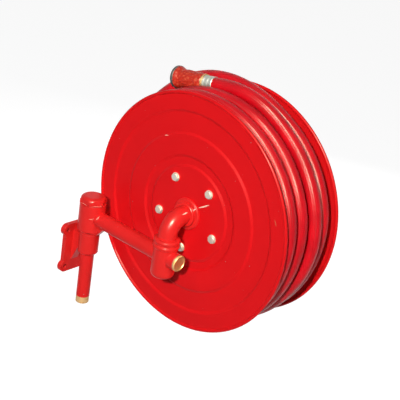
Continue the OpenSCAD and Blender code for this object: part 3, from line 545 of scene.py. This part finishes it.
# The skin's radius along the body: collar, groove, waist and flare. It is smoothed past the groove
# by a running mean.
knots_z = [33.4, 34.2, 40.0, 40.8, 42.2, 43.0, 60.0, 76.0, 88.0, 96.0, 101.5, 106.0, 109.0]
knots_r = [19.0, 19.6, 20.3, 19.3, 19.3, 19.9, 20.1, 20.5, 20.8, 21.4, 22.8, 25.2, 26.0]
SKIN_ROWS, SMOOTH_FROM, SMOOTH_SPAN = 150, 60, 13
z = np.linspace(knots_z[0], knots_z[-1], SKIN_ROWS)
skin_r = np.interp(z, knots_z, knots_r)
padded = np.pad(skin_r, SMOOTH_SPAN // 2, "edge")
mean_r = np.convolve(padded, np.ones(SMOOTH_SPAN) / SMOOTH_SPAN, "valid")
skin = np.stack([z, np.append(skin_r[:SMOOTH_FROM], mean_r[SMOOTH_FROM:])], -1)
body_outline = np.vstack([
    [[THREAD_END, THREAD_R], [BODY_START + 0.1, THREAD_R], [BODY_START, 14.0], [BODY_START, 18.4]],
    skin,
    [[FLARE_END, FLARE_R], [FLARE_END, LIP_R], [MOUTH_END - 0.3, LIP_R], [MOUTH_END, LIP_R - 0.4],
     [MOUTH_END, 12.4], [MOUTH_END - 0.3, JET_R], [JET_SEAT, JET_R], [JET_SEAT, WATER_R],
     [THREAD_END, WATER_R]]])
nozzle_body = make_piece("nozzle_grip", "nozzle", "nozzle_plastic",
                         on_nozzle(body_outline, 144, grip), True)
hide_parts("nozzle_body")

seat_r = LIP_R + 0.02
bumper_outline = rounded(
    [[FLARE_END, seat_r], [FLARE_END, BUMPER_R], [BUMPER_END, BUMPER_R], [BUMPER_END, seat_r]],
    [0.3, 1.2, 3.4, 1.4])
bumper = make_piece("rubber_bumper", "nozzle", "seal_rubber", on_nozzle(bumper_outline, 96), True)
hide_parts("nozzle_bumper")


# ---------------------------------------------------------------- room, light and camera

FLOOR_Z, FLOOR_HALF = -0.62, 9
FLOOR_GREY = (0.22, 0.22, 0.22)
WHITE_SEEN = 0.92                # floor's white to the camera and in reflections
FILL = 0.02                      # the world's light on the object


def seen_rays(tree):
    """1 for rays that come from the camera or off a glossy or clear surface, 0 for the rest."""
    rays = tree.nodes.new("ShaderNodeLightPath")
    seen = rays.outputs["Is Camera Ray"]
    for kind in ("Is Glossy Ray", "Is Transmission Ray"):
        either = tree.nodes.new("ShaderNodeMath")
        either.operation = "MAXIMUM"
        tree.links.new(seen, either.inputs[0])
        tree.links.new(rays.outputs[kind], either.inputs[1])
        seen = either.outputs[0]
    return seen


floor_finish = Finish("floor_white", Specular_IOR_Level=0.0, Roughness=1.0, Emission_Strength=1.0)
floor_finish.set(Base_Color=FLOOR_GREY)
glow = Value(floor_finish, seen_rays(floor_finish.material.node_tree)) * WHITE_SEEN
floor_finish.links.new(glow.socket, floor_finish.shader.inputs["Emission Color"])
floor_corners = [(FLOOR_HALF * x, FLOOR_HALF * y, FLOOR_Z)
                 for x, y in ((-1, -1), (1, -1), (1, 1), (-1, 1))]
mesh = bpy.data.meshes.new("floor")
mesh.from_pydata(floor_corners, [], [(0, 1, 2, 3)])
mesh.materials.append(floor_finish.material)
floor = bpy.data.objects.new("floor", mesh)
bpy.context.scene.collection.objects.link(floor)


def softbox(name, place, target, width, height, power):
    """A rectangular lamp at a place, turned to its target."""
    light = bpy.data.lights.new(name, "AREA")
    light.shape, light.size, light.size_y, light.energy = "RECTANGLE", width, height, power
    lamp = bpy.data.objects.new(name, light)
    place, target = np.array(place, float), np.array(target, float)
    back = unit(place - target)
    right = unit(np.cross([0, 0, 1], back))
    turn = Matrix(np.stack([right, np.cross(back, right), back], -1).tolist()).to_4x4()
    lamp.matrix_world = Matrix.Translation(place.tolist()) @ turn
    bpy.context.scene.collection.objects.link(lamp)
    return lamp


MIDDLE = (0.30, 0.10, 0.20)
softbox("key_softbox", (1.79, -3.09, 2.12), MIDDLE, 0.16, 0.16, 152)
# The glint lamp shows in reflections alone
glint = softbox("key_glint", (2.30, -2.70, 3.15), MIDDLE, 0.30, 0.30, 1900)
glint.visible_diffuse = False
glint.data.color = (1.0, 0.90, 0.66)
softbox("right_fill", (3.00, -0.35, 1.70), MIDDLE, 0.60, 0.60, 24).visible_glossy = False
softbox("left_softbox", (-1.15, -1.45, 0.95), MIDDLE, 1.2, 1.5, 1.6)
softbox("back_softbox", (-0.75, 2.4, 0.75), MIDDLE, 1.4, 1.2, 42).visible_glossy = False

world = bpy.data.worlds.new("studio")
bpy.context.scene.world = world
world.use_nodes = True
tree = world.node_tree
level = tree.nodes.new("ShaderNodeMapRange")
tree.links.new(seen_rays(tree), level.inputs[0])
level.inputs["To Min"].default_value = FILL
level.inputs["To Max"].default_value = 1.0
background = tree.nodes["Background"]
background.inputs["Color"].default_value = (1, 1, 1, 1)
tree.links.new(level.outputs[0], background.inputs["Strength"])

# Camera: where it stands, its turn to the left, its tilt down and its roll, in degrees, and its
# focal length in pixels of the frame
CAMERA_AT = (1.6663, -1.6387, 1.1878)
YAW, PITCH, ROLL = map(math.radians, (-38.15, 23.66, 9.07))
FOCAL_PIXELS, FRAME_PIXELS, SENSOR = 1042.5, 400, 36.0
ahead = np.array([math.sin(YAW) * math.cos(PITCH), math.cos(YAW) * math.cos(PITCH),
                  -math.sin(PITCH)])
level_right = np.array([math.cos(YAW), -math.sin(YAW), 0.0])
level_up = np.cross(level_right, ahead)
right = math.cos(ROLL) * level_right + math.sin(ROLL) * level_up
up = math.cos(ROLL) * level_up - math.sin(ROLL) * level_right
lens = bpy.data.cameras.new("camera")
lens.sensor_width = SENSOR
lens.lens = FOCAL_PIXELS / FRAME_PIXELS * SENSOR
camera = bpy.data.objects.new("camera", lens)
turn = Matrix(np.stack([right, up, -ahead], -1).tolist()).to_4x4()
camera.matrix_world = Matrix.Translation(CAMERA_AT) @ turn
bpy.context.scene.collection.objects.link(camera)
bpy.context.scene.camera = camera
bpy.context.scene.view_settings.view_transform = "Standard"
